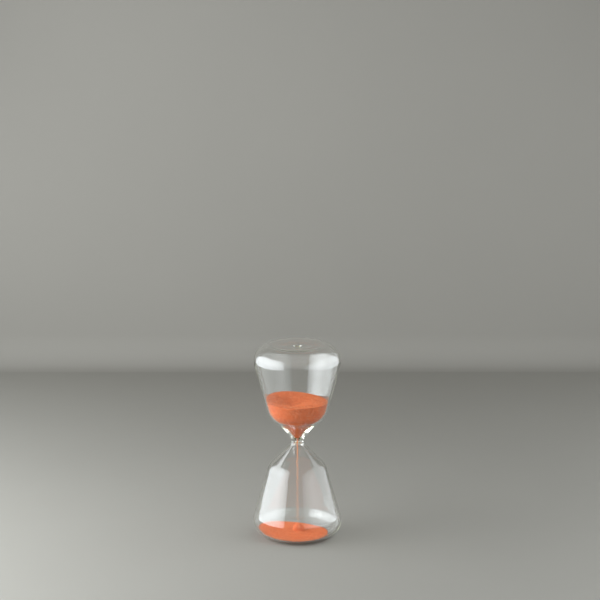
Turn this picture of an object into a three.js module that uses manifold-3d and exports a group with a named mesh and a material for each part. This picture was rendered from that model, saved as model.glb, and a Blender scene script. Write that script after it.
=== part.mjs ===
// A small hourglass of clear blown glass, standing on its own flattened end, part way through
// its run. Two bulbs are welded at a narrow waist and hold loose sand, and nothing frames them.
//
// Millimetres, +Z up. The origin is the centre of the ring that the glass stands on.

import * as THREE from 'three';
import { mergeVertices } from 'three/addons/utils/BufferGeometryUtils.js';
import Module from 'manifold-3d';

// ---- Driving dimensions -------------------------------------------------------------------

const BULB_LENGTH = 55; // from the waist plane to the end that a bulb stands on
const BODY_RADIUS = 24.4; // at the widest part of the lower shoulder

// Both bulbs are drawn upwards from the waist plane, where they are welded together, and were
// shaped by hand, so their arcs differ a little. A fillet is the radius of an arc, and a height
// is that of its centre above the waist plane. A reach is how far an arc goes out from the axis,
// the end's inset is how far its flat ring stays in from the widest part, and the shoulder's drop
// is how far its centre lies below the end. The lip rounds the orifice off. Only the upper bulb
// was drawn out into a neck before it opens: its throat is the arc between them, which dips in,
// so its centre lies outside the glass.
const UPPER_BULB = {
  length: BULB_LENGTH,
  bodyRadius: BODY_RADIUS - 0.4,
  endInset: 9.1,
  endFillet: 7.7,
  shoulderDrop: 9.3,
  shoulderFillet: 8.2,
  kneeHeight: 20.2,
  kneeReach: 17.1,
  kneeFillet: 11.0,
  throat: { radial: 13.9, height: 4.5, fillet: 6.2 },
  waistFillet: 4.5,
  orificeLip: 2.6,
};
const LOWER_BULB = {
  length: BULB_LENGTH,
  bodyRadius: BODY_RADIUS,
  endInset: 10.4,
  endFillet: 9.0,
  shoulderDrop: 10.1,
  shoulderFillet: 9.4,
  kneeHeight: 19.6,
  kneeReach: 16.9,
  kneeFillet: 10.3,
  waistFillet: 3.8,
  orificeLip: 0.8,
};

const WAIST_RADIUS = 3.4;
const ORIFICE_RADIUS = 0.7;
const BODY_WALL = 1.0;
const END_WALL = 1.0;
const STANDING_RING = 2.0; // width of the flat ring round each end
const DISH_DEPTH = 0.7; // how far the middle of each end is sucked in

const FILL_HOLE_RADIUS = 1.4; // the sand went in here, through the middle of the upper end
const SEAL_OVERLAP = 0.9; // how far the melted glass spreads past the hole
const SEAL_CAP = 0.25; // its rise outside
const SEAL_DROP = 0.9; // its sag inside

// Both surfaces stand higher on the -X side.
const UPPER_SAND_LEAN = THREE.MathUtils.degToRad(4);
const LOWER_SAND_LEAN = THREE.MathUtils.degToRad(5);
const UPPER_SAND_LEVEL = 24.1; // above the waist plane, on the axis
const UPPER_SAND_TIP = 0.75; // height of the sand's tip above the waist plane
const CRATER = { depth: 2.2, radius: 13, x: -3.2 };
const LOWER_SAND_LEVEL = 3.2; // above the standing ring, on the axis
const MOUND = { height: 3.7, radius: 3.0, x: 0.5 };
const STREAM_FOOT_RADIUS = 0.3; // falling sand speeds up, so the stream thins

const CLEARANCE = 0.3; // between neighbours that touch on the real thing

const BULB_SEGMENTS = 48;
const SEAL_SEGMENTS = 24;
const STREAM_SEGMENTS = 16;
const ARC_STEP = THREE.MathUtils.degToRad(12);
const DISH_STEPS = 4;
const DOME_SHARES = [0, 0.25, 0.5, 0.75, 1]; // of a quarter turn, from rim to pole
const CRATER_RINGS = [0, 0.25, 0.5, 0.75, 1]; // radii where the sand is sampled, as shares
const MOUND_RINGS = [0, 0.35, 0.65, 0.85, 0.97, 1.15];

const WAIST_PLANE = LOWER_BULB.length;

// ---- Outlines -----------------------------------------------------------------------------

// An outline lives in the (radius, height) plane and runs round a set of arcs. turn is 1 where
// it bulges out round the arc, and -1 where it dips in.
function arc(radial, height, radius, turn) {
  return { centre: new THREE.Vector2(radial, height), radius, turn };
}

// The straight line that leaves one arc and meets the next, touching both.
function commonTangent(first, second) {
  const along = second.centre.clone().sub(first.centre);
  const reach = second.turn * second.radius - first.turn * first.radius;
  if (Math.abs(reach) >= along.length()) throw new Error('no straight line joins these arcs');
  const swing = Math.acos(reach / along.length());
  const inward = along.normalize().rotateAround(new THREE.Vector2(), swing);
  return [first, second].map(({ centre, radius, turn }) =>
    centre.clone().addScaledVector(inward, -turn * radius),
  );
}

// Points along an arc, the short way round between two points on it.
function alongArc({ centre, radius }, from, to) {
  const start = from.clone().sub(centre).angle();
  const end = to.clone().sub(centre).angle();
  const sweep = end - start - 2 * Math.PI * Math.round((end - start) / (2 * Math.PI));
  const steps = Math.max(1, Math.ceil(Math.abs(sweep) / ARC_STEP));
  return Array.from({ length: steps + 1 }, (_, step) => {
    const angle = start + (sweep * step) / steps;
    return new THREE.Vector2(Math.cos(angle), Math.sin(angle)).multiplyScalar(radius).add(centre);
  });
}

// One side of a bulb, from the waist plane to the edge of its end. A skin is the surface wanted:
// how deep it lies in the body and the end, and the radius and fillet that it has at the waist.
function bulbSide(bulb, skin) {
  const { throat } = bulb;
  const edge = new THREE.Vector2(bulb.bodyRadius - bulb.endInset, bulb.length - skin.end);
  const endFillet = bulb.endFillet - skin.body;
  const shoulder = arc(
    bulb.bodyRadius - bulb.shoulderFillet,
    bulb.length - bulb.shoulderDrop,
    bulb.shoulderFillet - skin.body,
    1,
  );
  const arcs = [
    arc(skin.waistRadius + skin.waistFillet, 0, skin.waistFillet, -1),
    ...(throat ? [arc(throat.radial, throat.height, throat.fillet + skin.body, -1)] : []),
    arc(bulb.kneeReach - bulb.kneeFillet, bulb.kneeHeight, bulb.kneeFillet - skin.body, 1),
    shoulder,
    arc(edge.x, edge.y - endFillet, endFillet, 1),
  ];
  const stops = [
    new THREE.Vector2(skin.waistRadius, 0),
    ...arcs.slice(1).flatMap((next, i) => commonTangent(arcs[i], next)),
    edge,
  ];
  const widest = shoulder.centre.clone().setX(shoulder.centre.x + shoulder.radius);
  return arcs.flatMap((each, i) => {
    const [from, to] = stops.slice(2 * i, 2 * i + 2);
    if (each !== shoulder) return alongArc(each, from, to);
    return [...alongArc(each, from, widest), ...alongArc(each, widest, to).slice(1)];
  });
}

// The end of a bulb, from the inner edge of its standing ring in to a hole or to the axis.
function dishedEnd(bulb, endInset, holeRadius) {
  const rim = bulb.bodyRadius - bulb.endInset - STANDING_RING;
  return Array.from({ length: DISH_STEPS + 1 }, (_, step) => {
    const radial = THREE.MathUtils.lerp(rim, holeRadius, step / DISH_STEPS);
    const sag = DISH_DEPTH * (1 - (radial / rim) ** 2);
    return new THREE.Vector2(radial, bulb.length - endInset - sag);
  });
}

function outerOutline(bulb, holeRadius) {
  const skin = {
    body: 0,
    end: 0,
    waistRadius: WAIST_RADIUS,
    waistFillet: bulb.waistFillet,
  };
  return [...bulbSide(bulb, skin), ...dishedEnd(bulb, 0, holeRadius)];
}

// The hollow of a bulb, or what fills it with a gap all round.
function hollowOutline(bulb, holeRadius, gap = 0) {
  const skin = {
    body: BODY_WALL + gap,
    end: END_WALL + gap,
    waistRadius: ORIFICE_RADIUS - gap,
    waistFillet: bulb.orificeLip + gap,
  };
  return [...bulbSide(bulb, skin), ...dishedEnd(bulb, skin.end, holeRadius)];
}

// ---- Bodies -------------------------------------------------------------------------------

// A closed outline turned about Z. It runs out at the bottom, up the outside and back at the top.
function turned(outline, segments = BULB_SEGMENTS) {
  return new THREE.LatheGeometry(outline, segments).rotateX(Math.PI / 2);
}

// The glass of one bulb: down its hollow, across the waist plane, and up its outside.
function bulbShell(bulb, holeRadius = 0) {
  const outline = [
    ...hollowOutline(bulb, holeRadius).reverse(),
    ...outerOutline(bulb, holeRadius),
  ];
  if (holeRadius > 0) outline.push(outline[0].clone());
  return turned(outline);
}

// The melted drop that closes the fill hole, shaped like a rivet with a low cap and a fuller sag.
function sealDrop(bulb) {
  const outside = bulb.length - DISH_DEPTH + CLEARANCE;
  const inside = bulb.length - DISH_DEPTH - END_WALL - CLEARANCE;
  const spread = FILL_HOLE_RADIUS + SEAL_OVERLAP;
  const neck = FILL_HOLE_RADIUS - CLEARANCE;
  const dome = (base, rise) =>
    DOME_SHARES.map((share) => {
      const angle = (share * Math.PI) / 2;
      return new THREE.Vector2(spread * Math.cos(angle), base + rise * Math.sin(angle));
    });
  const outline = [
    ...dome(inside, -SEAL_DROP).reverse(),
    new THREE.Vector2(neck, inside),
    new THREE.Vector2(neck, outside),
    ...dome(outside, SEAL_CAP),
  ];
  return turned(outline, SEAL_SEGMENTS);
}

const wasm = await Module();
wasm.setup();

// A solid for cutting, with shared vertices merged and the flat triangles at its poles left out.
function solid(geometry) {
  geometry.deleteAttribute('normal');
  geometry.deleteAttribute('uv');
  const merged = mergeVertices(geometry);
  const triangles = [];
  for (let i = 0; i < merged.index.count; i += 3) {
    const [a, b, c] = [0, 1, 2].map((corner) => merged.index.getX(i + corner));
    if (a !== b && b !== c && c !== a) triangles.push(a, b, c);
  }
  const vertProperties = merged.attributes.position.array;
  const triVerts = new Uint32Array(triangles);
  return new wasm.Manifold(new wasm.Mesh({ numProp: 3, vertProperties, triVerts }));
}

function geometryOf(manifold) {
  const mesh = manifold.getMesh();
  const geometry = new THREE.BufferGeometry();
  geometry.setAttribute('position', new THREE.BufferAttribute(mesh.vertProperties, 3));
  geometry.setIndex(new THREE.BufferAttribute(mesh.triVerts, 1));
  geometry.computeVertexNormals();
  return geometry;
}

// A round block with a level floor, whose top follows a surface given as height over (x, y).
// The rings are the radii at which the top is sampled, from the axis out to the block's side.
function heap(rings, floor, surface) {
  const width = rings[rings.length - 1];
  const top = rings.map((radial) => new THREE.Vector2(radial, 0)).reverse();
  const outline = [new THREE.Vector2(0, -1), new THREE.Vector2(width, -1), ...top];
  const geometry = turned(outline);
  const position = geometry.attributes.position;
  for (let i = 0; i < position.count; i += 1) {
    const onTop = position.getZ(i) > -0.5;
    position.setZ(i, onTop ? surface(position.getX(i), position.getY(i)) : floor);
  }
  return geometry;
}

// Sand is what a heap and the hollow of its bulb share, less the clearance to the glass.
function sandBody(hollow, block) {
  return geometryOf(solid(hollow).intersect(solid(block)));
}

function hollowBody(bulb) {
  return turned([new THREE.Vector2(0, 0), ...hollowOutline(bulb, 0, CLEARANCE)]);
}

// A cone-shaped crater over the orifice, in a surface that leans.
function upperSurface(x, y) {
  const reach = Math.hypot(x - CRATER.x, y) / CRATER.radius;
  const crater = CRATER.depth * Math.max(0, 1 - reach);
  return UPPER_SAND_LEVEL - x * Math.tan(UPPER_SAND_LEAN) - crater;
}

// A bed that leans, with a steep round mound where the stream lands.
function lowerSurface(x, y) {
  const reach = Math.hypot(x - MOUND.x, y) / MOUND.radius;
  const mound = MOUND.height * Math.sqrt(Math.max(0, 1 - reach ** 2));
  return LOWER_SAND_LEVEL - x * Math.tan(LOWER_SAND_LEAN) + mound;
}

function upperSand() {
  const rings = CRATER_RINGS.map((share) => share * CRATER.radius);
  const block = heap([...rings, UPPER_BULB.bodyRadius], UPPER_SAND_TIP, upperSurface);
  return sandBody(hollowBody(UPPER_BULB), block);
}

function lowerSand() {
  const rings = MOUND_RINGS.map((share) => share * MOUND.radius);
  const block = heap([...rings, LOWER_BULB.bodyRadius], 0, lowerSurface);
  const hollow = hollowBody(LOWER_BULB).rotateX(Math.PI).translate(0, 0, LOWER_BULB.length);
  return sandBody(hollow, block);
}

// The falling stream, from just under the sand's tip to just over the mound.
function stream() {
  const top = WAIST_PLANE + UPPER_SAND_TIP - CLEARANCE;
  const foot = lowerSurface(0, 0) + CLEARANCE;
  const topRadius = ORIFICE_RADIUS - CLEARANCE;
  const column = new THREE.CylinderGeometry(
    topRadius,
    STREAM_FOOT_RADIUS,
    top - foot,
    STREAM_SEGMENTS,
  );
  return column.rotateX(Math.PI / 2).translate(0, 0, (top + foot) / 2);
}

// ---- Assembly -----------------------------------------------------------------------------

const glass = new THREE.MeshStandardMaterial({
  color: 0xe9ede2,
  roughness: 0.03,
  metalness: 0,
  transparent: true,
  opacity: 0.35,
});
const sand = new THREE.MeshStandardMaterial({ color: 0xde8255, roughness: 0.95, metalness: 0 });

function piece(name, geometry, material) {
  const mesh = new THREE.Mesh(geometry, material);
  mesh.name = name;
  return mesh;
}

const upperHalf = new THREE.Group();
upperHalf.position.z = WAIST_PLANE;
upperHalf.add(
  piece('upper_bulb', bulbShell(UPPER_BULB, FILL_HOLE_RADIUS), glass),
  piece('fill_seal', sealDrop(UPPER_BULB), glass),
  piece('upper_sand', upperSand(), sand),
);

const lowerGlass = new THREE.Group();
lowerGlass.position.z = WAIST_PLANE;
lowerGlass.rotation.x = Math.PI;
lowerGlass.add(piece('lower_bulb', bulbShell(LOWER_BULB), glass));

const hourglass = new THREE.Group();
hourglass.add(
  upperHalf,
  lowerGlass,
  piece('sand_stream', stream(), sand),
  piece('lower_sand', lowerSand(), sand),
);

export default hourglass;
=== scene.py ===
"""Builds the finished look of a small frameless hourglass round its packed construction model.

The envelope is one piece of blown glass, fused at the waist and sealed at its upper end. Loose
sand lies in both bulbs and falls between them. Everything is in metres, with +Z up.
"""

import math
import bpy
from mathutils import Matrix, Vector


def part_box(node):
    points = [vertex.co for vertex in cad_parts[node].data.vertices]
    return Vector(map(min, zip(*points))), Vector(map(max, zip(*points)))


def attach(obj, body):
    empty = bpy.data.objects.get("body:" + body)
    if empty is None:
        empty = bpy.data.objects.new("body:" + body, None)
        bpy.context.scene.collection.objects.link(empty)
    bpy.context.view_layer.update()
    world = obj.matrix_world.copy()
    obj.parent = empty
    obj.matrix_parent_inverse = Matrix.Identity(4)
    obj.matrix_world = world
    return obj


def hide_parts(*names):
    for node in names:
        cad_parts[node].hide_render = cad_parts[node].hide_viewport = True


bl_info = {
    "name": "Blown-glass hourglass",
    "version": (1, 0, 0),
    "blender": (4, 5, 0),
    "location": "3D View > Sidebar > Hourglass",
    "description": "Builds a frameless glass hourglass with running sand",
    "category": "Object",
}

import bmesh
import bpy
import numpy as np
from bpy.props import FloatProperty, FloatVectorProperty, IntProperty, PointerProperty
from mathutils import Vector, noise

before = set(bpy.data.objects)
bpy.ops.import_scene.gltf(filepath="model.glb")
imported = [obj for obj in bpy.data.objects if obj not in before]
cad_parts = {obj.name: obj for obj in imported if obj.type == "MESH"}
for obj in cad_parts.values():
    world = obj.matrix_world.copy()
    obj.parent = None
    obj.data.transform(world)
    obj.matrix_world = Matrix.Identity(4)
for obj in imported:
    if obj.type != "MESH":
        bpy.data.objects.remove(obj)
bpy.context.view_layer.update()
BODIES = {side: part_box(side + "_bulb") for side in ("upper", "lower")}
WAIST_PLANE = BODIES["lower"][1].z
ROOT = "root"

# Metres a second, gained each second, and the half of it that gives the way fallen.
GRAVITY = 9.807
HALF_GRAVITY = 4.903

# The studio, in metres from the foot of the hourglass. The foot is the height at which the cove
# starts, and the lip how far the backdrop's edge stands out from the cove, and its height.
FLOOR_REACH = 4.0
BACKDROP_REACH = 3.0
BACKDROP_TOP = 1.8
COVE_RADIUS = 0.02
COVE_FACETS = 8
COVE_FOOT = 0.0005
COVE_LIP = (0.001, 0.0004)
CAMERA_SENSOR_MM = 36
CAMERA_REACH = 50
ROOM_WHITE = (1.0, 0.98, 0.95)

# The softboxes stand across X. Fronts and glows are in (y, z), in metres from the foot.
SOFTBOX_WHITE = (0.95, 1.0, 1.04)
SOFTBOX_BACK = [(0.05, 0.37), (0.19, 0.34), (0.27, 0.23), (0.36, 0.12), (0.36, 0.0)]
SOFTBOXES = {
    "left": {
        "x": -0.32,
        "front": [(-0.455, 0.0), (-0.455, 0.58), (-0.2, 0.55), *SOFTBOX_BACK],
        "glow_centre": (-0.10, 0.20),
        "glow_reach": (0.70, 0.75),
    },
    "right": {
        "x": 0.32,
        "front": [(-1.02, 0.0), (-1.02, 0.53), (-0.2, 0.50), *SOFTBOX_BACK],
        "glow_centre": (-0.25, 0.10),
        "glow_reach": (1.20, 0.90),
    },
}

# The glass: points along the ends and the seal, the longest step along its outline in metres, and
# the scale of the noise that its waviness follows.
END_POINTS = 20
PIP_POINTS = 14
OUTLINE_STEP = 0.0014
WAVE_SCALE = 45.0

# The heaps: rings of points on their parts, and where the first rings within the rim stand, as
# shares of its radius. The rim is found in rounds, from a share of the wall's widest radius.
FLOOR_RINGS = 12
WALL_RINGS = 60
SURFACE_RINGS = 100
OUTER_SHARE = 0.993
NEXT_SHARE = 0.985
RIM_GUESS = 0.8
RIM_ROUNDS = 80

# The free surface of the sand. The reach is the radius, in metres, at which its twist and its sag
# come to their full height. A fractal has a roughness, a frequency step and a number of layers.
BED_REACH = 0.0185
CRATER_CURVE = 1.2
LUMP_HEIGHT = 0.00012
LUMPS_PER_METRE = 700
LUMP_FRACTAL = (0.9, 2.0, 3)

# Loose grains, as shares of a grain's size: how uneven one is, how they vary, how far apart they
# lie and how deep. Tones run from 0, the darkest, to 1.
STONE_DENT = 0.09
STONE_SIZES = (0.7, 1.3)
GRAIN_SPACING = 0.95
GRAIN_DEPTHS = (-0.35, 0.2)
# Falling grains take only the pale end of the tones: painted light on the thin, lit stream.
FALLING_LIT_TONE = 0.85

# Patches of tone on the studio's paint and in the packed sand, as the stops of a ramp.
PAINT_PATCHES = [(0.3, (0.97, 0.97, 0.97)), (0.7, (1.0, 1.0, 1.0))]
# The packed sand's stops also sit darker overall than the loose grains on top: painted shade for
# its shaded sides against the glass.
SAND_TONE_AND_SHADE_PATCHES = [(0.3, (0.71, 0.53, 0.50)), (0.7, (0.82, 0.64, 0.60))]


# ---- Settings ---------------------------------------------------------------------------------


def length(name, millimetres, description):
    """A size that a user can change, given in millimetres and kept in metres."""
    return FloatProperty(
        name=name,
        description=description,
        default=millimetres / 1000,
        unit="LENGTH",
        precision=5,
    )


def angle(name, degrees, description):
    return FloatProperty(
        name=name,
        description=description,
        default=math.radians(degrees),
        subtype="ANGLE",
    )


def colour(name, default, description):
    return FloatVectorProperty(
        name=name,
        description=description,
        default=default,
        subtype="COLOR",
        min=0,
        max=1,
    )


def number(name, default, description):
    return FloatProperty(name=name, description=description, default=default, precision=4)


class GlassSettings(bpy.types.PropertyGroup):
    """The blown envelope. Heights are measured from the waist plane towards each end."""

    waist_radius: length("Waist radius", 3.4, "Outer radius of the fused waist")
    orifice_radius: length("Orifice radius", 0.7, "Radius of the hole the sand runs through")
    body_wall: length("Body wall", 1.0, "Thickness of the necks and bodies")
    end_wall: length("End wall", 1.0, "Thickness of the flattened ends")
    standing_ring: length("Standing ring", 2.0, "Width of the flat ring round each end")
    dish_depth: length("Dish depth", 0.7, "How far the middle of each end is sucked in")
    pip_radius: length("Pip radius", 2.3, "Radius of the melted drop that seals the upper end")
    pip_rise: length("Pip rise", 0.18, "How far the seal stands out of the dish")
    pip_sag: length("Pip sag", 0.6, "How far the seal hangs into the bulb")
    upper_lip: length("Upper lip", 2.6, "Rounding of the glass above the orifice")
    upper_waist_fillet: length("Upper waist fillet", 4.5, "Radius of the arc above the waist")
    throat_radial: length("Throat centre", 13.9, "From the axis to the centre of the throat arc")
    throat_height: length("Throat height", 4.5, "Centre of the throat arc, in the upper neck")
    throat_fillet: length("Throat fillet", 6.2, "Radius of the throat arc, which dips in")
    upper_knee_height: length("Upper knee height", 20.2, "Centre of the upper knee arc")
    upper_knee_reach: length("Upper knee reach", 17.1, "Radius that the upper knee bulges to")
    upper_knee_fillet: length("Upper knee fillet", 11.0, "Radius of the upper knee arc")
    upper_shoulder_drop: length("Upper shoulder drop", 9.3, "Its arc's centre below the end")
    upper_shoulder_fillet: length("Upper shoulder fillet", 8.2, "Radius of the shoulder arc")
    upper_end_inset: length("Upper end inset", 9.1, "From the widest part in to the flat ring")
    upper_end_fillet: length("Upper end fillet", 7.7, "Radius of the arc beside the flat ring")
    lower_lip: length("Lower lip", 0.8, "Rounding of the glass below the orifice")
    lower_waist_fillet: length("Lower waist fillet", 3.8, "Radius of the arc below the waist")
    lower_knee_height: length("Lower knee height", 19.6, "Centre of the lower knee arc")
    lower_knee_reach: length("Lower knee reach", 16.9, "Radius that the lower knee bulges to")
    lower_knee_fillet: length("Lower knee fillet", 10.3, "Radius of the lower knee arc")
    lower_shoulder_drop: length("Lower shoulder drop", 10.1, "Its arc's centre above the end")
    lower_shoulder_fillet: length("Lower shoulder fillet", 9.4, "Radius of the shoulder arc")
    lower_end_inset: length("Lower end inset", 10.4, "From the widest part in to the flat ring")
    lower_end_fillet: length("Lower end fillet", 9.0, "Radius of the arc beside the flat ring")
    tint: colour("Tint", (0.85, 0.88, 0.60), "Colour that thick glass takes")
    tint_density: number("Tint density", 26.0, "How quickly thick glass takes its tint, per metre")
    shade: number("Shade", 0.88, "Light that each face of the wall lets through to what is behind")
    waviness: length("Waviness", 0.06, "How far blown glass strays from a true circle")
    segments: IntProperty(name="Segments", description="Faces round the glass", default=192)


class SandSettings(bpy.types.PropertyGroup):
    """The loose sand. Levels are measured on the axis."""

    upper_level: length("Upper level", 23.2, "Height of the upper sand above the waist plane")
    upper_tip: length("Upper tip", 1.0, "Height of the sand's lowest point above the waist plane")
    lower_level: length("Lower level", 3.2, "Height of the lower sand above the standing ring")
    upper_lean: angle("Upper lean", 2.2, "Slope of the upper sand, higher on the -X side")
    upper_pitch: angle("Upper pitch", 0.8, "Slope of the upper sand, higher at the back")
    upper_twist: length("Upper twist", 0.6, "How far the upper sand's rim rises and falls")
    lower_lean: angle("Lower lean", 5.0, "Slope of the lower sand, higher on the -X side")
    lower_sag: length("Lower sag", 1.1, "How far the lower sand drops at the back")
    crater_depth: length("Crater depth", 3.6, "Depth of the crater over the orifice")
    crater_radius: length("Crater radius", 13.0, "Radius of the crater")
    crater_x: length("Crater place", -3.2, "Place of the crater's bottom along X")
    mound_height: length("Mound height", 4.3, "Height of the mound under the stream")
    mound_radius: length("Mound radius", 3.0, "Radius of the mound")
    mound_x: length("Mound place", 0.5, "Place of the mound along X")
    wall_gap: length("Wall gap", 0.04, "Air between the sand and the glass")
    grain: length("Grain", 0.34, "Mean size of a grain on a free surface")
    falling_grain: length("Falling grain", 0.26, "Mean size of a falling grain")
    flow: number("Flow", 5000.0, "Grains that pass the orifice in a second")
    orifice_speed: number("Orifice speed", 0.14, "Speed at the orifice, in metres a second")
    stream_radius: length("Stream radius", 0.30, "Radius of the stream at the orifice")
    scatter_speed: number("Scatter speed", 0.008, "How fast the stream widens, metres a second")
    dark: colour("Dark grains", (0.64, 0.14, 0.035), "Colour of the darkest grains")
    middle: colour("Sand", (0.94, 0.245, 0.067), "Colour of most grains")
    light: colour("Light grains", (0.98, 0.50, 0.25), "Colour of the palest grains")
    segments: IntProperty(name="Segments", description="Faces round a heap", default=168)


class StageSettings(bpy.types.PropertyGroup):
    """Floor, backdrop, softboxes, room and camera."""

    floor: colour("Floor", (0.274, 0.262, 0.232), "Colour of the floor")
    backdrop: colour("Backdrop", (0.281, 0.267, 0.238), "Colour of the backdrop")
    backdrop_distance: length("Backdrop distance", 374.0, "From the hourglass to the backdrop")
    camera_distance: length("Camera distance", 1935.0, "From the waist to the camera")
    camera_elevation: angle("Camera elevation", 16.0, "Height of the camera over the horizon")
    frame_width: length("Frame width", 331.7, "Width of the picture at the waist")
    frame_rise: length("Frame rise", 77.7, "From the waist up to the picture's centre")
    frame_side: length("Frame side", 1.46, "From the waist right to the picture's centre")
    left_lamp: number("Left lamp", 8.9, "Brightness of the left softbox at its brightest place")
    left_rim: number("Left rim", 0.12, "Share of that which is left at its rim")
    right_lamp: number("Right lamp", 2.9, "Brightness of the right softbox at its brightest place")
    right_rim: number("Right rim", 0.27, "Share of that which is left at its rim")
    ambient: number("Ambient", 0.15, "Light that the rest of the room casts")
    room: number("Room", 0.45, "How bright the room looks in and through glass")
    bounces: IntProperty(
        name="Bounces",
        description="How often light can turn inside the glass before it is lost",
        default=48,
    )


# ---- Outlines ---------------------------------------------------------------------------------


class Arc:
    """An arc of an outline in the (radius, height) plane. It bulges out, or dips in."""

    def __init__(self, radial, height, radius, bulges):
        self.centre = np.array([radial, height])
        self.radius = radius
        self.signed = radius if bulges else -radius

    def points(self, start, end, step=math.radians(3)):
        """Points from start to end, the short way round."""
        first = math.atan2(*(start - self.centre)[::-1])
        last = math.atan2(*(end - self.centre)[::-1])
        sweep = (last - first + math.pi) % (2 * math.pi) - math.pi
        count = max(2, math.ceil(abs(sweep) / step) + 1)
        turn = first + np.linspace(0, sweep, count)
        return self.centre + self.radius * np.stack([np.cos(turn), np.sin(turn)], 1)


def common_tangent(first, second):
    """The straight line that leaves one arc and meets the next: its two touching points."""
    along = second.centre - first.centre
    swing = math.acos((second.signed - first.signed) / np.hypot(*along))
    x, z = along / np.hypot(*along)
    inward = np.array(
        [
            x * math.cos(swing) - z * math.sin(swing),
            x * math.sin(swing) + z * math.cos(swing),
        ]
    )
    return first.centre - inward * first.signed, second.centre - inward * second.signed


class Bulb:
    """One bulb of the envelope, drawn upwards from the waist plane."""

    def __init__(self, glass, side):
        low, high = BODIES[side]
        self.glass = glass
        self.length = high.z - low.z
        self.radius = high.x
        self.throated = side == "upper"
        for key in glass.__annotations__:
            if key.startswith(side + "_"):
                setattr(self, key.removeprefix(side + "_"), getattr(glass, key))
        self.edge = self.radius - self.end_inset

    def side(self, inset, end_inset, waist_radius, waist_fillet):
        """From the waist plane to the edge of the end. The insets move it into the glass."""
        glass = self.glass
        knee, shoulder, last = (
            fillet - inset for fillet in (self.knee_fillet, self.shoulder_fillet, self.end_fillet)
        )
        end = self.length - end_inset
        high = self.length - self.shoulder_drop
        arcs = [
            Arc(waist_radius + waist_fillet, 0, waist_fillet, False),
            Arc(self.knee_reach - self.knee_fillet, self.knee_height, knee, True),
            Arc(self.radius - self.shoulder_fillet, high, shoulder, True),
            Arc(self.edge, end - last, last, True),
        ]
        if self.throated:
            throat = glass.throat_fillet + inset
            arcs.insert(1, Arc(glass.throat_radial, glass.throat_height, throat, False))
        stops = [np.array([waist_radius, 0])]
        for first, second in zip(arcs[:-1], arcs[1:]):
            stops += common_tangent(first, second)
        stops.append(np.array([self.edge, end]))
        return np.vstack(
            [arc.points(*stops[2 * index : 2 * index + 2]) for index, arc in enumerate(arcs)]
        )

    def end(self, end_inset, pip_radius=0.0, pip_rise=0.0):
        """From the standing ring in to the axis, with the seal's pip if it has one."""
        rim = self.edge - self.glass.standing_ring
        radial = np.linspace(rim, 0, END_POINTS)
        pip = 0
        if pip_radius:
            inner = np.linspace(pip_radius, 0, PIP_POINTS)
            radial = np.concatenate([radial[radial > pip_radius], inner])
            share = np.clip(1 - (radial / pip_radius) ** 2, 0, 1)
            pip = pip_rise * share**1.5
        sag = self.glass.dish_depth * (1 - (radial / rim) ** 2) ** 2
        return np.stack([radial, self.length - end_inset - sag + pip], 1)

    def outer(self, sealed=False):
        glass = self.glass
        pip = (glass.pip_radius, glass.pip_rise) if sealed else ()
        side = self.side(0, 0, glass.waist_radius, self.waist_fillet)
        return np.vstack([side, self.end(0, *pip)])

    def hollow(self, gap=0.0, sealed=False):
        """The hollow, or what fills it with a gap all round."""
        glass = self.glass
        pip = (glass.pip_radius, -glass.pip_sag) if sealed else ()
        end_inset = glass.end_wall + gap
        side = self.side(
            glass.body_wall + gap,
            end_inset,
            glass.orifice_radius - gap,
            self.lip + gap,
        )
        return np.vstack([side, self.end(end_inset, *pip)])


def whole_outline(lower, upper):
    """Two outlines that start at the waist plane, as one from the bottom to the top."""
    below = lower[::-1] * [1, -1]
    return np.vstack([below[:-1], upper]) + [0, WAIST_PLANE]


def spaced(outline, step):
    """The same outline with no two points further apart than a step."""
    out = [outline[:1]]
    for first, second in zip(outline[:-1], outline[1:]):
        count = max(1, math.ceil(np.hypot(*(second - first)) / step))
        share = np.linspace(0, 1, count + 1)[1:, None]
        out.append(first + (second - first) * share)
    return np.vstack(out)


# ---- Meshes -----------------------------------------------------------------------------------


def new_piece(name, vertices, faces, material=None):
    """A smooth-shaded object at the origin, or a plain line of vertices if it has no faces."""
    edges = [] if faces else [(i, i + 1) for i in range(len(vertices) - 1)]
    mesh = bpy.data.meshes.new(name)
    mesh.from_pydata([tuple(v) for v in vertices], edges, faces)
    if faces:
        mesh.shade_smooth()
    if material:
        mesh.materials.append(material)
    piece = bpy.data.objects.new(name, mesh)
    bpy.context.scene.collection.objects.link(piece)
    return piece


def hand_over(piece, slot, *nodes):
    """Ties a finished piece to the construction model."""
    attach(piece, ROOT)
    if nodes:
        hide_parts(*nodes)


# ---- Node wiring ------------------------------------------------------------------------------


class Wire:
    """An output socket that takes part in Python expressions."""

    def __init__(self, tree, socket):
        self.tree = tree
        self.socket = socket

    def _math(self, operation, *values):
        made = self.tree.node("ShaderNodeMath", {"operation": operation}, dict(enumerate(values)))
        return made["Value"]

    def __add__(self, other):
        return self._math("ADD", self, other)

    def __sub__(self, other):
        return self._math("SUBTRACT", self, other)

    def __rsub__(self, other):
        return self._math("SUBTRACT", other, self)

    def __mul__(self, other):
        return self._math("MULTIPLY", self, other)

    def __truediv__(self, other):
        return self._math("DIVIDE", self, other)

    def __rtruediv__(self, other):
        return self._math("DIVIDE", other, self)

    def __pow__(self, other):
        return self._math("POWER", self, other)

    __radd__ = __add__
    __rmul__ = __mul__


class Made:
    """A node in place. Indexing it gives one of its outputs, by name or by number."""

    def __init__(self, tree, node):
        self.tree = tree
        self.node = node

    def __getitem__(self, key):
        return Wire(self.tree, self.node.outputs[key])


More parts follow.
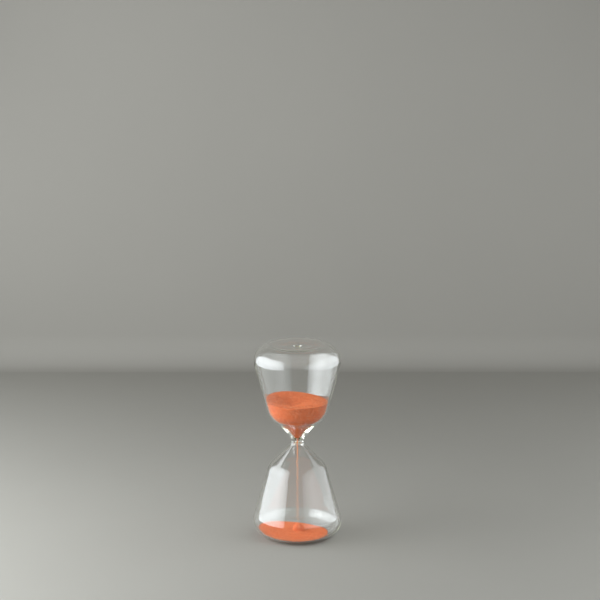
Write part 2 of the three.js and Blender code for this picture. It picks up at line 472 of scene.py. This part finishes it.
class Tree:
    """Wires nodes into a shader or geometry tree."""

    def __init__(self, nodes):
        self.nodes = nodes

    def node(self, kind, settings=None, sockets=None):
        """Adds a node: its settings first, then the values or links of its sockets."""
        made = self.nodes.nodes.new(kind)
        for key, value in (settings or {}).items():
            if key == "stops":
                self._set_stops(made.color_ramp, value)
            else:
                setattr(made, key, value)
        for key, value in (sockets or {}).items():
            if isinstance(value, Wire):
                self.nodes.links.new(value.socket, made.inputs[key])
            else:
                made.inputs[key].default_value = value
        return Made(self, made)

    @staticmethod
    def _set_stops(ramp, stops):
        while len(ramp.elements) < len(stops):
            ramp.elements.new(1.0)
        for element, (place, value) in zip(ramp.elements, stops):
            element.position = place
            element.color = (*value, 1)

    def mix_colour(self, factor, first, second, blend="MIX"):
        settings = {"data_type": "RGBA", "blend_type": blend}
        return self.node("ShaderNodeMix", settings, {0: factor, 6: first, 7: second})[2]

    def vector(self, operation, first, second):
        key = "Scale" if operation == "SCALE" else 1
        return self.node(
            "ShaderNodeVectorMath", {"operation": operation}, {0: first, key: second}
        )["Vector"]


def rgba(value):
    return (*value[:3], 1)


# ---- Materials --------------------------------------------------------------------------------


def shader_tree(name):
    """A new material, its empty tree and the place of a point on the object."""
    material = bpy.data.materials.new(name)
    material.use_nodes = True
    material.node_tree.nodes.clear()
    tree = Tree(material.node_tree)
    return material, tree, tree.node("ShaderNodeTexCoord")["Object"]


def shown_as(tree, surface, **others):
    tree.node("ShaderNodeOutputMaterial", None, {"Surface": surface, **others})


def glass_material(glass):
    """Clear glass, tinted where it is thick. Lamps and soft light pass straight through it."""
    material, tree, place = shader_tree("blown_glass")
    ripple = tree.node("ShaderNodeTexNoise", None, {"Vector": place, "Scale": 60.0, "Detail": 1.0})
    bump = tree.node(
        "ShaderNodeBump",
        None,
        {"Height": ripple["Fac"], "Strength": 0.08, "Distance": 0.001},
    )
    clear = tree.node(
        "ShaderNodeBsdfPrincipled",
        None,
        {
            "Base Color": (1, 1, 1, 1),
            "Roughness": 0.0,
            "IOR": 1.47,
            "Transmission Weight": 1.0,
            "Normal": bump["Normal"],
        },
    )["BSDF"]
    passed = (glass.shade, glass.shade, glass.shade, 1)
    window = tree.node("ShaderNodeBsdfTransparent", None, {"Color": passed})["BSDF"]
    path = tree.node("ShaderNodeLightPath")
    seen = tree.node(
        "ShaderNodeMixShader", None, {0: path["Is Diffuse Ray"], 1: clear, 2: window}
    )["Shader"]
    lit = tree.node(
        "ShaderNodeMixShader", None, {0: path["Is Shadow Ray"], 1: seen, 2: window}
    )["Shader"]
    tint = tree.node(
        "ShaderNodeVolumeAbsorption",
        None,
        {"Color": rgba(glass.tint), "Density": glass.tint_density},
    )["Volume"]
    shown_as(tree, lit, Volume=tint)
    return material


def sand_colour(tree, sand, tone):
    """The colour of a grain whose tone was drawn between 0 and 1."""
    stops = [(0.0, sand.dark), (0.3, sand.middle), (0.75, sand.middle), (1.0, sand.light)]
    return tree.node("ShaderNodeValToRGB", {"stops": stops}, {"Fac": tone})["Color"]


def packed_sand_material(sand):
    """Sand seen as a body: a cell for each grain, in soft patches of tone, darkened overall by
    painted shade.
    """
    material, tree, place = shader_tree("packed_sand")
    cells = tree.node("ShaderNodeTexVoronoi", None, {"Vector": place, "Scale": 1 / sand.grain})
    drawn = tree.node("ShaderNodeSeparateColor", None, {"Color": cells["Color"]})
    noise_settings = {"Vector": place, "Scale": 240.0, "Detail": 3.0}
    patches = tree.node("ShaderNodeTexNoise", None, noise_settings)
    base = tree.mix_colour(
        1.0,
        sand_colour(tree, sand, drawn["Red"]),
        # This ramp also darkens the whole packed body: painted shade on the sides seen against the
        # glass, beside the random patches of tone.
        tree.node("ShaderNodeValToRGB", {"stops": SAND_TONE_AND_SHADE_PATCHES}, {"Fac": patches["Fac"]})["Color"],
        "MULTIPLY",
    )
    bump = tree.node(
        "ShaderNodeBump",
        {"invert": True},
        {"Height": cells["Distance"], "Strength": 0.6, "Distance": sand.grain / 2},
    )
    surface = tree.node(
        "ShaderNodeBsdfPrincipled",
        None,
        {
            "Base Color": base,
            "Roughness": 0.82 + 0.14 * drawn["Green"],
            "Specular IOR Level": 0.2,
            "Normal": bump["Normal"],
        },
    )["BSDF"]
    shown_as(tree, surface)
    return material


def loose_grain_material(sand):
    """A single grain, whose tone was drawn when it was scattered."""
    material, tree, place = shader_tree("loose_grains")
    tone = tree.node("ShaderNodeAttribute", {"attribute_name": "tone"})["Fac"]
    pits = tree.node("ShaderNodeTexNoise", None, {"Vector": place, "Scale": 9000.0})
    bump = tree.node(
        "ShaderNodeBump", None, {"Height": pits["Fac"], "Strength": 0.3, "Distance": 0.0001}
    )
    surface = tree.node(
        "ShaderNodeBsdfPrincipled",
        None,
        {
            "Base Color": sand_colour(tree, sand, tone),
            "Roughness": 0.7 + 0.25 * tone,
            "IOR": 1.45,
            "Normal": bump["Normal"],
        },
    )["BSDF"]
    shown_as(tree, surface)
    return material


def studio_material(name, value, one_sided=False):
    """A matt studio surface. A one-sided one isn't there when it is seen from behind."""
    material, tree, place = shader_tree(name)
    patches = tree.node("ShaderNodeTexNoise", None, {"Vector": place, "Scale": 9.0, "Detail": 4.0})
    base = tree.mix_colour(
        1.0,
        rgba(value),
        tree.node("ShaderNodeValToRGB", {"stops": PAINT_PATCHES}, {"Fac": patches["Fac"]})["Color"],
        "MULTIPLY",
    )
    surface = tree.node(
        "ShaderNodeBsdfPrincipled", None, {"Base Color": base, "Roughness": 0.9}
    )["BSDF"]
    if one_sided:
        gone = tree.node("ShaderNodeBsdfTransparent")["BSDF"]
        behind = tree.node("ShaderNodeNewGeometry")["Backfacing"]
        surface = tree.node("ShaderNodeMixShader", None, {0: behind, 1: surface, 2: gone})["Shader"]
    shown_as(tree, surface)
    return material


# ---- Geometry trees ---------------------------------------------------------------------------


def growth_tree(name, sizes):
    """A geometry tree with one named input for each size. Returns it and its input node."""
    group = bpy.data.node_groups.new(name, "GeometryNodeTree")
    face = group.interface
    face.new_socket("Geometry", in_out="INPUT", socket_type="NodeSocketGeometry")
    for label, value in sizes.items():
        kind = "NodeSocketInt" if isinstance(value, int) else "NodeSocketFloat"
        face.new_socket(label, in_out="INPUT", socket_type=kind).default_value = value
    face.new_socket("Geometry", in_out="OUTPUT", socket_type="NodeSocketGeometry")
    tree = Tree(group)
    return tree, tree.node("NodeGroupInput")


def end_growth(tree, geometry, material):
    """Ends a tree: nothing stays an instance, and all of it takes one material."""
    real = tree.node("GeometryNodeRealizeInstances", None, {"Geometry": geometry})["Geometry"]
    made = tree.node(
        "GeometryNodeSetMaterial", None, {"Geometry": real, "Material": material}
    )["Geometry"]
    tree.node("NodeGroupOutput", None, {"Geometry": made})


def random_value(tree, low, high, seed):
    """A random number for each element."""
    return tree.node(
        "FunctionNodeRandomValue", {"data_type": "FLOAT"}, {2: low, 3: high, "Seed": seed}
    )[1]


def random_vector(tree, low, high, seed):
    return tree.node(
        "FunctionNodeRandomValue",
        {"data_type": "FLOAT_VECTOR"},
        {0: (low, low, low), 1: (high, high, high), "Seed": seed},
    )[0]


def stones_on(tree, points, size, seed, darkest=0.0):
    """A small uneven stone on each point, turned at random, with a tone of its own."""
    ball = tree.node("GeometryNodeMeshIcoSphere", None, {"Radius": 0.5, "Subdivisions": 1})["Mesh"]
    stone = tree.node(
        "GeometryNodeSetPosition",
        None,
        {"Geometry": ball, "Offset": random_vector(tree, -STONE_DENT, STONE_DENT, seed=4)},
    )["Geometry"]
    scale = tree.vector("SCALE", random_vector(tree, *STONE_SIZES, seed + 1), size)
    placed = tree.node(
        "GeometryNodeInstanceOnPoints",
        None,
        {
            "Points": points,
            "Instance": stone,
            "Rotation": random_vector(tree, 0.0, 2 * math.pi, seed + 2),
            "Scale": scale,
        },
    )["Instances"]
    return tree.node(
        "GeometryNodeStoreNamedAttribute",
        {"data_type": "FLOAT", "domain": "INSTANCE"},
        {"Geometry": placed, "Name": "tone", "Value": random_value(tree, darkest, 1.0, seed + 3)},
    )["Geometry"]


def turning_tree(sizes, material):
    """Turns a line in the XZ plane about Z, with the slight waviness of blown glass."""
    tree, given = growth_tree("turn_about_axis", sizes)
    outline = given["Geometry"]
    rows = tree.node("GeometryNodeAttributeDomainSize", None, {"Geometry": outline})["Point Count"]
    across = given["Segments"] + 1.0
    sheet = tree.node(
        "GeometryNodeMeshGrid", None, {"Vertices X": rows, "Vertices Y": across}
    )["Mesh"]
    index = tree.node("GeometryNodeInputIndex")["Index"]
    whole = {"operation": "DIVIDE_FLOOR"}
    row = tree.node("FunctionNodeIntegerMath", whole, {0: index, 1: across})["Value"]
    step = index - row * across
    point = tree.node(
        "GeometryNodeSampleIndex",
        {"data_type": "FLOAT_VECTOR", "domain": "POINT"},
        {"Geometry": outline, "Value": tree.node("GeometryNodeInputPosition")[0], "Index": row},
    )["Value"]
    place = tree.node(
        "ShaderNodeVectorRotate",
        {"rotation_type": "Z_AXIS"},
        {"Vector": point, "Angle": step / given["Segments"] * (2 * math.pi)},
    )["Vector"]
    wave = tree.node(
        "ShaderNodeTexNoise",
        None,
        {"Vector": place, "Scale": given["Wave scale"], "Detail": 1.0},
    )["Fac"]
    outward = tree.vector("NORMALIZE", tree.vector("MULTIPLY", place, (1, 1, 0)), (0, 0, 0))
    push = tree.vector("SCALE", outward, (wave - 0.5) * given["Waviness"] * 2.0)
    turned = tree.node(
        "GeometryNodeSetPosition",
        None,
        {"Geometry": sheet, "Position": tree.vector("ADD", place, push)},
    )["Geometry"]
    closed = tree.node(
        "GeometryNodeMergeByDistance", None, {"Geometry": turned, "Distance": 0.000001}
    )["Geometry"]
    end_growth(tree, closed, material)
    return tree.nodes


def scatter_tree(sizes, material):
    """Covers the free faces of a heap with loose grains."""
    tree, given = growth_tree("loose_grains_on_heap", sizes)
    free = tree.node(
        "GeometryNodeInputNamedAttribute", {"data_type": "FLOAT"}, {"Name": "free"}
    )["Attribute"]
    spread = tree.node(
        "GeometryNodeDistributePointsOnFaces",
        {"distribute_method": "POISSON"},
        {
            "Mesh": given["Geometry"],
            "Selection": free,
            "Distance Min": given["Spacing"],
            "Density Max": 3.0 / (given["Spacing"] * given["Spacing"]),
            "Seed": given["Seed"],
        },
    )
    depth = random_value(tree, *GRAIN_DEPTHS, seed=21) * given["Grain size"]
    points = tree.node(
        "GeometryNodeSetPosition",
        None,
        {"Geometry": spread["Points"], "Offset": tree.vector("SCALE", spread["Normal"], depth)},
    )["Geometry"]
    end_growth(tree, stones_on(tree, points, given["Grain size"], seed=31), material)
    return tree.nodes


def falling_tree(sizes, material):
    """Grains in free fall from the orifice, further apart as they gain speed."""
    tree, given = growth_tree("falling_grains", sizes)
    line = tree.node(
        "GeometryNodeMeshLine", None, {"Count": given["Grains"], "Offset": (0, 0, 0)}
    )["Mesh"]
    index = tree.node("GeometryNodeInputIndex")["Index"]
    jitter = random_value(tree, 0.0, 1.0, seed=5)
    time = (index + jitter) / given["Grains"] * given["Fall time"]
    fallen = given["Start speed"] * time + HALF_GRAVITY * time * time
    turn = random_value(tree, 0.0, 2 * math.pi, seed=6)
    reach = random_value(tree, 0.0, 1.0, seed=7) ** 0.5
    reach = reach * (given["Stream radius"] + given["Scatter speed"] * time)
    place = tree.node(
        "ShaderNodeCombineXYZ",
        None,
        {
            "X": reach * tree.node("ShaderNodeMath", {"operation": "COSINE"}, {0: turn})["Value"],
            "Y": reach * tree.node("ShaderNodeMath", {"operation": "SINE"}, {0: turn})["Value"],
            "Z": given["Start height"] - fallen,
        },
    )["Vector"]
    points = tree.node(
        "GeometryNodeSetPosition", None, {"Geometry": line, "Position": place}
    )["Geometry"]
    # The falling grains are drawn paler than the same sand in the heaps: painted light.
    stones = stones_on(tree, points, given["Grain size"], seed=41, darkest=FALLING_LIT_TONE)
    end_growth(tree, stones, material)
    return tree.nodes


def grown(source, group, sizes, name):
    """What a geometry tree makes of an object, as a plain mesh on a new object."""
    modifier = source.modifiers.new(group.name, "NODES")
    modifier.node_group = group
    for item in group.interface.items_tree:
        if item.in_out == "INPUT" and item.name in sizes:
            modifier[item.identifier] = sizes[item.name]
    graph = bpy.context.evaluated_depsgraph_get()
    mesh = bpy.data.meshes.new_from_object(source.evaluated_get(graph), depsgraph=graph)
    source.modifiers.remove(modifier)
    mesh.name = name
    piece = bpy.data.objects.new(name, mesh)
    bpy.context.scene.collection.objects.link(piece)
    return piece


def joined(name, *pieces):
    """Several plain meshes as one object. The pieces themselves are removed."""
    made = bmesh.new()
    for piece in pieces:
        made.from_mesh(piece.data)
    mesh = pieces[0].data
    made.to_mesh(mesh)
    made.free()
    out = bpy.data.objects.new(name, mesh)
    bpy.context.scene.collection.objects.link(out)
    for piece in pieces:
        bpy.data.objects.remove(piece)
    return out


# ---- Sand shapes ------------------------------------------------------------------------------


def upper_surface(sand, x, y):
    """Height of the upper sand: it leans and twists, with a crater over the orifice."""
    reach = np.hypot(x - sand.crater_x, y) / sand.crater_radius
    crater = sand.crater_depth * np.clip(1 - reach, 0, 1) ** CRATER_CURVE
    slope = y * math.tan(sand.upper_pitch) - x * math.tan(sand.upper_lean)
    twist = -2 * sand.upper_twist * x * y / BED_REACH**2
    return WAIST_PLANE + sand.upper_level + slope + twist - crater


def lower_surface(sand, x, y):
    """Height of the lower sand: it leans and sags, with a steep mound under the stream."""
    reach = np.hypot(x - sand.mound_x, y) / sand.mound_radius
    mound = sand.mound_height * np.sqrt(np.clip(1 - reach**2, 0, 1))
    sag = sand.lower_sag * np.maximum(y / BED_REACH, 0) ** 2
    return sand.lower_level - x * math.tan(sand.lower_lean) - sag + mound


def rim_heights(wall, surface, angles):
    """Height at which a surface meets a wall of rising (radius, height) points, all round."""
    radial = np.full(len(angles), wall[:, 0].max() * RIM_GUESS)
    for _ in range(RIM_ROUNDS):
        heights = surface(radial * np.cos(angles), radial * np.sin(angles))
        radial = (radial + np.interp(heights, wall[:, 1], wall[:, 0])) / 2
    return surface(radial * np.cos(angles), radial * np.sin(angles))


def heap(name, wall, surface, floor, sand, material):
    """Sand that fills a wall from the bottom up to a surface. Its free faces are marked.

    The floor gives the height of the sand's underside at any radius.
    """
    count = sand.segments
    angles = np.linspace(0, 2 * math.pi, count, endpoint=False)
    cosines, sines = np.cos(angles), np.sin(angles)
    bottom, foot = wall[0, 1], wall[0, 0]
    rims = rim_heights(wall, surface, angles)
    rows = [
        np.stack([r * cosines, r * sines, np.full(count, floor(r))], 1)
        for r in np.linspace(0, foot, FLOOR_RINGS)[1:-1]
    ]
    for share in np.linspace(0, 1, WALL_RINGS):
        heights = bottom + (rims - bottom) * share
        radial = np.interp(heights, wall[:, 1], wall[:, 0])
        rows.append(np.stack([radial * cosines, radial * sines, heights], 1))
    covered = len(rows)
    reach = np.hypot(rows[-1][:, 0], rows[-1][:, 1])
    shares = np.linspace(1, 0, SURFACE_RINGS)[1:-1]
    for share in [OUTER_SHARE, *shares[shares < NEXT_SHARE]]:
        x, y = reach * share * cosines, reach * share * sines
        heights = surface(x, y)
        rows.append(np.stack([x, y, heights], 1))
    vertices = np.vstack([*rows, [[0, 0, floor(0)], [0, 0, surface(0.0, 0.0)]]])
    for index in [*range(covered * count, len(rows) * count), len(vertices) - 1]:
        place = Vector(vertices[index]) * LUMPS_PER_METRE
        vertices[index, 2] += LUMP_HEIGHT * noise.fractal(place, *LUMP_FRACTAL)
    faces = ring_faces(len(rows), count)
    piece = new_piece(name, vertices, faces, material)
    free = piece.data.attributes.new("free", "FLOAT", "FACE")
    first = covered * count
    free.data.foreach_set("value", [float(min(face) >= first or face[0] > first) for face in faces])
    return piece


def ring_faces(rings, count):
    """Outward faces of rings stacked from the bottom, closed by two poles that come last."""
    bottom, top = rings * count, rings * count + 1
    faces = []
    for step in range(count):
        after = (step + 1) % count
        faces.append((bottom, after, step))
        for row in range(rings - 1):
            low, high = row * count, (row + 1) * count
            faces.append((low + step, low + after, high + after, high + step))
        last = (rings - 1) * count
        faces.append((top, last + step, last + after))
    return faces


# ---- Operators --------------------------------------------------------------------------------


def sand_wall(bulb, gap):
    """The inside of a bulb as rising (radius, height over the waist plane) points."""
    wall = bulb.hollow(gap)
    return wall[: int(np.argmax(wall[:, 0])) + 1]


class HOURGLASS_OT_lay_stage(bpy.types.Operator):
    """Lays the floor and backdrop, stands the softboxes and places the camera"""

    bl_idname = "hourglass.lay_stage"
    bl_label = "Lay the stage"

    def execute(self, context):
        stage = context.scene.hourglass_stage
        scene = context.scene
        scene.view_settings.view_transform = "Standard"
        scene.cycles.max_bounces = stage.bounces
        scene.cycles.transmission_bounces = stage.bounces
        scene.cycles.glossy_bounces = stage.bounces
        self._floor(stage)
        self._backdrop(stage)
        self._softbox("left", stage.left_lamp, stage.left_rim)
        self._softbox("right", stage.right_lamp, stage.right_rim)
        self._world(scene, stage)
        self._camera(scene, stage)
        return {"FINISHED"}

    @staticmethod
    def _floor(stage):
        far = FLOOR_REACH
        corners = [(-far, -far, 0), (far, -far, 0), (far, far, 0), (-far, far, 0)]
        paint = studio_material("floor_paint", stage.floor)
        return new_piece("studio_floor", corners, [(0, 1, 2, 3)], paint)

    @staticmethod
    def _backdrop(stage):
        """A wall that curves up from just above the floor."""
        near = stage.backdrop_distance - COVE_RADIUS
        line = [(near - COVE_LIP[0], COVE_LIP[1])]
        for turn in np.linspace(0, math.pi / 2, COVE_FACETS + 1):
            y = near + COVE_RADIUS * math.sin(turn)
            line.append((y, COVE_FOOT + COVE_RADIUS * (1 - math.cos(turn))))
        line.append((stage.backdrop_distance, BACKDROP_TOP))
        vertices = [(x, y, z) for y, z in line for x in (-BACKDROP_REACH, BACKDROP_REACH)]
        faces = [(2 * i, 2 * i + 1, 2 * i + 3, 2 * i + 2) for i in range(len(line) - 1)]
        paint = studio_material("backdrop_paint", stage.backdrop, one_sided=True)
        return new_piece("studio_backdrop", vertices, faces, paint)

    @staticmethod
    def _softbox(side, brightness, rim):
        """A softbox, brightest at the centre of its glow and down to a share of that at the rim.

        It lights the glass and is mirrored in it, but isn't seen straight or through the glass.
        """
        lamp = SOFTBOXES[side]
        material, tree, place = shader_tree(side + "_softbox_fabric")
        offset = tree.vector("SUBTRACT", place, (lamp["x"], *lamp["glow_centre"]))
        shrink = (0, *(1 / reach for reach in lamp["glow_reach"]))
        offset = tree.vector("MULTIPLY", offset, shrink)
        glow = tree.node(
            "ShaderNodeTexGradient", {"gradient_type": "QUADRATIC_SPHERE"}, {"Vector": offset}
        )["Fac"]
        faded = tuple(part * rim for part in SOFTBOX_WHITE)
        tone = tree.mix_colour(glow, rgba(faded), rgba(SOFTBOX_WHITE))
        lit = tree.node("ShaderNodeEmission", None, {"Color": tone, "Strength": brightness})
        gone = tree.node("ShaderNodeBsdfTransparent")["BSDF"]
        path = tree.node("ShaderNodeLightPath")
        unreflected = tree.node(
            "ShaderNodeMath", {"operation": "LESS_THAN"}, {0: path["Glossy Depth"], 1: 0.5}
        )["Value"]
        hidden = unreflected * path["Is Transmission Ray"]
        shown_as(tree, tree.node("ShaderNodeMixShader", None, {0: hidden, 1: lit[0], 2: gone})[0])
        corners = [(lamp["x"], y, z) for y, z in lamp["front"]]
        if side == "left":
            corners.reverse()  # so that its front faces the hourglass too
        softbox = new_piece(side + "_softbox", corners, [tuple(range(len(corners)))], material)
        softbox.visible_camera = False
        return softbox

    @staticmethod
    def _world(scene, stage):
        world = bpy.data.worlds.new("studio_room")
        world.use_nodes = True
        world.node_tree.nodes.clear()
        tree = Tree(world.node_tree)
        path = tree.node("ShaderNodeLightPath")
        seen = path["Is Camera Ray"] + path["Is Glossy Ray"] + path["Is Transmission Ray"]
        strength = stage.ambient + seen * (stage.room - stage.ambient)
        light = tree.node(
            "ShaderNodeBackground", None, {"Color": rgba(ROOM_WHITE), "Strength": strength}
        )["Background"]
        tree.node("ShaderNodeOutputWorld", None, {"Surface": light})
        scene.world = world

    @staticmethod
    def _camera(scene, stage):
        data = bpy.data.cameras.new("studio_camera")
        data.sensor_width = CAMERA_SENSOR_MM
        data.lens = CAMERA_SENSOR_MM * stage.camera_distance / stage.frame_width
        data.clip_end = CAMERA_REACH
        camera = bpy.data.objects.new("studio_camera", data)
        rise = stage.camera_elevation
        waist = Vector((0, 0, WAIST_PLANE))
        up = Vector((0, math.sin(rise), math.cos(rise)))
        away = Vector((0, -math.cos(rise), math.sin(rise)))
        camera.location = waist + away * stage.camera_distance
        aim = waist + up * stage.frame_rise + Vector((stage.frame_side, 0, 0))
        camera.rotation_euler = (aim - camera.location).to_track_quat("-Z", "Y").to_euler()
        scene.collection.objects.link(camera)
        scene.camera = camera


class HOURGLASS_OT_blow_glass(bpy.types.Operator):
    """Blows the two bulbs as one closed piece of glass, fused at the waist and sealed on top"""

    bl_idname = "hourglass.blow_glass"
    bl_label = "Blow the glass"

    def execute(self, context):
        glass = context.scene.hourglass_glass
        lower, upper = Bulb(glass, "lower"), Bulb(glass, "upper")
        outside = whole_outline(lower.outer(), upper.outer(sealed=True))
        inside = whole_outline(lower.hollow(), upper.hollow(sealed=True))
        sizes = {
            "Segments": glass.segments,
            "Waviness": glass.waviness,
            "Wave scale": WAVE_SCALE,
        }
        tree = turning_tree(sizes, glass_material(glass))
        skins = []
        for name, line in (
            ("outside", spaced(outside, OUTLINE_STEP)[::-1]),
            ("inside", spaced(inside, OUTLINE_STEP)),
        ):
            source = new_piece(name, [(r, 0, z) for r, z in line], [])
            skins.append(grown(source, tree, sizes, name + "_skin"))
            bpy.data.objects.remove(source)
        envelope = joined("glass_envelope", *skins)
        envelope.data.shade_smooth()
        hand_over(envelope, "glass", "upper_bulb", "lower_bulb", "fill_seal")
        return {"FINISHED"}


class HOURGLASS_OT_pour_sand(bpy.types.Operator):
    """Pours the sand of both bulbs, with loose grains on its free surfaces"""

    bl_idname = "hourglass.pour_sand"
    bl_label = "Pour the sand"

    def execute(self, context):
        glass, sand = context.scene.hourglass_glass, context.scene.hourglass_sand
        packed, loose = packed_sand_material(sand), loose_grain_material(sand)
        sizes = {"Grain size": sand.grain, "Spacing": sand.grain * GRAIN_SPACING, "Seed": 11}
        scatter = scatter_tree(sizes, loose)
        for name, heap_piece in (
            ("upper_sand", self._upper(glass, sand, packed)),
            ("lower_sand", self._lower(glass, sand, packed)),
        ):
            grains = grown(heap_piece, scatter, sizes, name + "_grains")
            hand_over(heap_piece, "sand", name)
            hand_over(grains, "sand", name)
        return {"FINISHED"}

    @staticmethod
    def _upper(glass, sand, material):
        wall = sand_wall(Bulb(glass, "upper"), sand.wall_gap)
        wall = wall[wall[:, 1] > sand.upper_tip] + [0, WAIST_PLANE]

        def surface(x, y):
            return upper_surface(sand, x, y)

        return heap("upper_sand_body", wall, surface, lambda r: wall[0, 1], sand, material)

    @staticmethod
    def _lower(glass, sand, material):
        bulb = Bulb(glass, "lower")
        hollow = bulb.hollow(sand.wall_gap)
        turn = int(np.argmax(hollow[:, 0]))
        down = hollow[turn:] * [1, -1] + [0, WAIST_PLANE]
        foot = int(np.argmin(down[:, 1]))
        wall, dish = down[: foot + 1][::-1], down[foot:][::-1]

        def surface(x, y):
            return lower_surface(sand, x, y)

        def floor(r):
            return np.interp(r, dish[:, 0], dish[:, 1])

        return heap("lower_sand_body", wall, surface, floor, sand, material)


class HOURGLASS_OT_start_stream(bpy.types.Operator):
    """Drops the grains that are falling from the waist to the mound"""

    bl_idname = "hourglass.start_stream"
    bl_label = "Start the stream"

    def execute(self, context):
        sand = context.scene.hourglass_sand
        top = WAIST_PLANE + sand.upper_tip
        drop = top - sand.lower_level - sand.mound_height
        speed = sand.orifice_speed
        fall_time = (math.sqrt(speed**2 + 2 * GRAVITY * drop) - speed) / GRAVITY
        source = new_piece("stream_source", [(0, 0, 0), (0, 0, 0.001)], [])
        sizes = {
            "Grains": round(sand.flow * fall_time),
            "Fall time": fall_time,
            "Start speed": speed,
            "Start height": top,
            "Stream radius": sand.stream_radius,
            "Scatter speed": sand.scatter_speed,
            "Grain size": sand.falling_grain,
        }
        tree = falling_tree(sizes, bpy.data.materials["loose_grains"])
        stream = grown(source, tree, sizes, "falling_sand")
        bpy.data.objects.remove(source)
        hand_over(stream, "sand", "sand_stream")
        return {"FINISHED"}


class HOURGLASS_PT_panel(bpy.types.Panel):
    bl_idname = "HOURGLASS_PT_panel"
    bl_label = "Blown-glass hourglass"
    bl_space_type = "VIEW_3D"
    bl_region_type = "UI"
    bl_category = "Hourglass"

    def draw(self, context):
        for maker in OPERATORS:
            self.layout.operator(maker.bl_idname)
        for group in SETTINGS.values():
            box = self.layout.box()
            for key in group.__annotations__:
                box.prop(getattr(context.scene, NAMES[group]), key)


OPERATORS = (
    HOURGLASS_OT_lay_stage,
    HOURGLASS_OT_blow_glass,
    HOURGLASS_OT_pour_sand,
    HOURGLASS_OT_start_stream,
)
SETTINGS = {
    "hourglass_stage": StageSettings,
    "hourglass_glass": GlassSettings,
    "hourglass_sand": SandSettings,
}
NAMES = {group: name for name, group in SETTINGS.items()}


def register():
    for kind in (*SETTINGS.values(), *OPERATORS, HOURGLASS_PT_panel):
        bpy.utils.register_class(kind)
    for name, group in SETTINGS.items():
        setattr(bpy.types.Scene, name, PointerProperty(type=group))


def unregister():
    for name in SETTINGS:
        delattr(bpy.types.Scene, name)
    for kind in (HOURGLASS_PT_panel, *reversed(OPERATORS), *reversed(SETTINGS.values())):
        bpy.utils.unregister_class(kind)


def main():
    register()
    bpy.ops.hourglass.lay_stage()
    bpy.ops.hourglass.blow_glass()
    bpy.ops.hourglass.pour_sand()
    bpy.ops.hourglass.start_stream()


if __name__ == "__main__":
    main()
